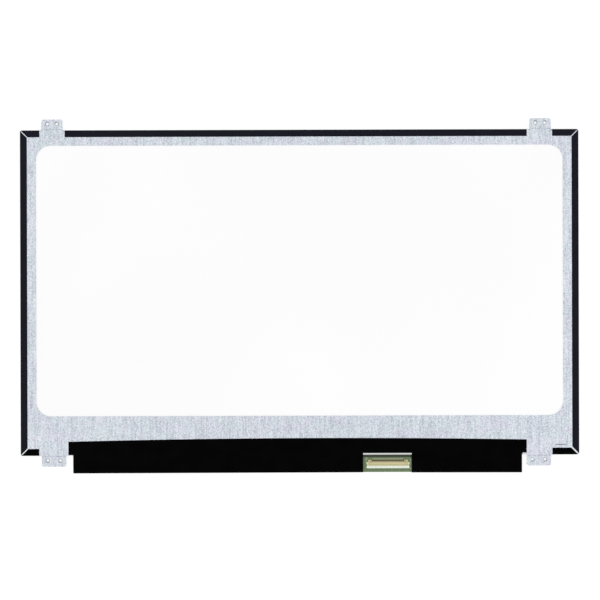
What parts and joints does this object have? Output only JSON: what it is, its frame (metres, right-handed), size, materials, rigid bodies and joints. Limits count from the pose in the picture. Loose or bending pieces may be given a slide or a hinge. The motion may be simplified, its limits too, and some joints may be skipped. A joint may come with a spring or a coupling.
{
  "type": "laptop screen panel",
  "caption": "Slim LCD module of a laptop, seen from the back: windowed steel plate, white reflector, border tapes, corner fixing tabs, taped circuit board and cable socket.",
  "frame": {"origin": "middle of the whole outline, on the plane of the screen side's border tapes", "axes": "+X along the width, to the right as the back is seen; +Y to the upper edge; +Z from the screen to the back"},
  "size_m": [0.3594, 0.2284, 0.0031],
  "materials": {
    "sheet_steel": "galvanised, finely mottled, matt",
    "reflector_film": "white, dull, very even",
    "clear_acrylic": "clear and polished, with a fine dot pattern",
    "optical_film": "milky, satin",
    "white_moulding": "white, fine moulded grain",
    "flex_film": "amber film over copper",
    "diode_case": "white case with a yellow lens",
    "rim_adhesive": "black double-sided tape",
    "polarizer_film": "near black, fine anti-glare grain",
    "screen_glass": "clear, polished",
    "circuit_laminate": "green solder resist, satin",
    "socket_plastic": "beige moulded plastic",
    "tinned_shell": "bright tinned sheet",
    "contact_metal": "gold plated with tinned feet",
    "chip_resin": "black moulding resin",
    "ceramic_part": "fired ceramic with tinned ends",
    "coil_ferrite": "dark grey ferrite",
    "cover_film": "black insulating tape, dull",
    "edge_film": "blue-black film tape, low gloss"
  },
  "bodies": {
    "root": {"back_plate": "sheet_steel", "reflector_sheet": "reflector_film", "light_guide": "clear_acrylic", "diffuser_sheet": "optical_film", "lower_prism_sheet": "optical_film", "upper_prism_sheet": "optical_film", "moulded_frame": "white_moulding", "led_flex": "flex_film", "light_diodes": "diode_case", "rim_tape": "rim_adhesive", "rear_polarizer": "polarizer_film", "array_glass": "screen_glass", "filter_glass": "screen_glass", "front_polarizer": "polarizer_film", "driver_chips": "chip_resin", "driver_flexes": "flex_film", "circuit_board": "circuit_laminate", "socket_housing": "socket_plastic", "socket_shell": "tinned_shell", "socket_contacts": "contact_metal", "timing_chip": "chip_resin", "gamma_chip": "chip_resin", "led_driver_chip": "chip_resin", "memory_chip": "chip_resin", "power_inductors": "coil_ferrite", "ceramic_capacitors": "ceramic_part", "chip_resistors": "ceramic_part", "backlight_socket": "socket_plastic", "cover_tape": "cover_film", "front_cover_tape": "cover_film", "top_edge_tape": "edge_film", "left_edge_tape": "edge_film", "right_edge_tape": "edge_film", "lower_left_tape": "cover_film", "lower_right_tape": "cover_film"}
  },
  "joints": []
}
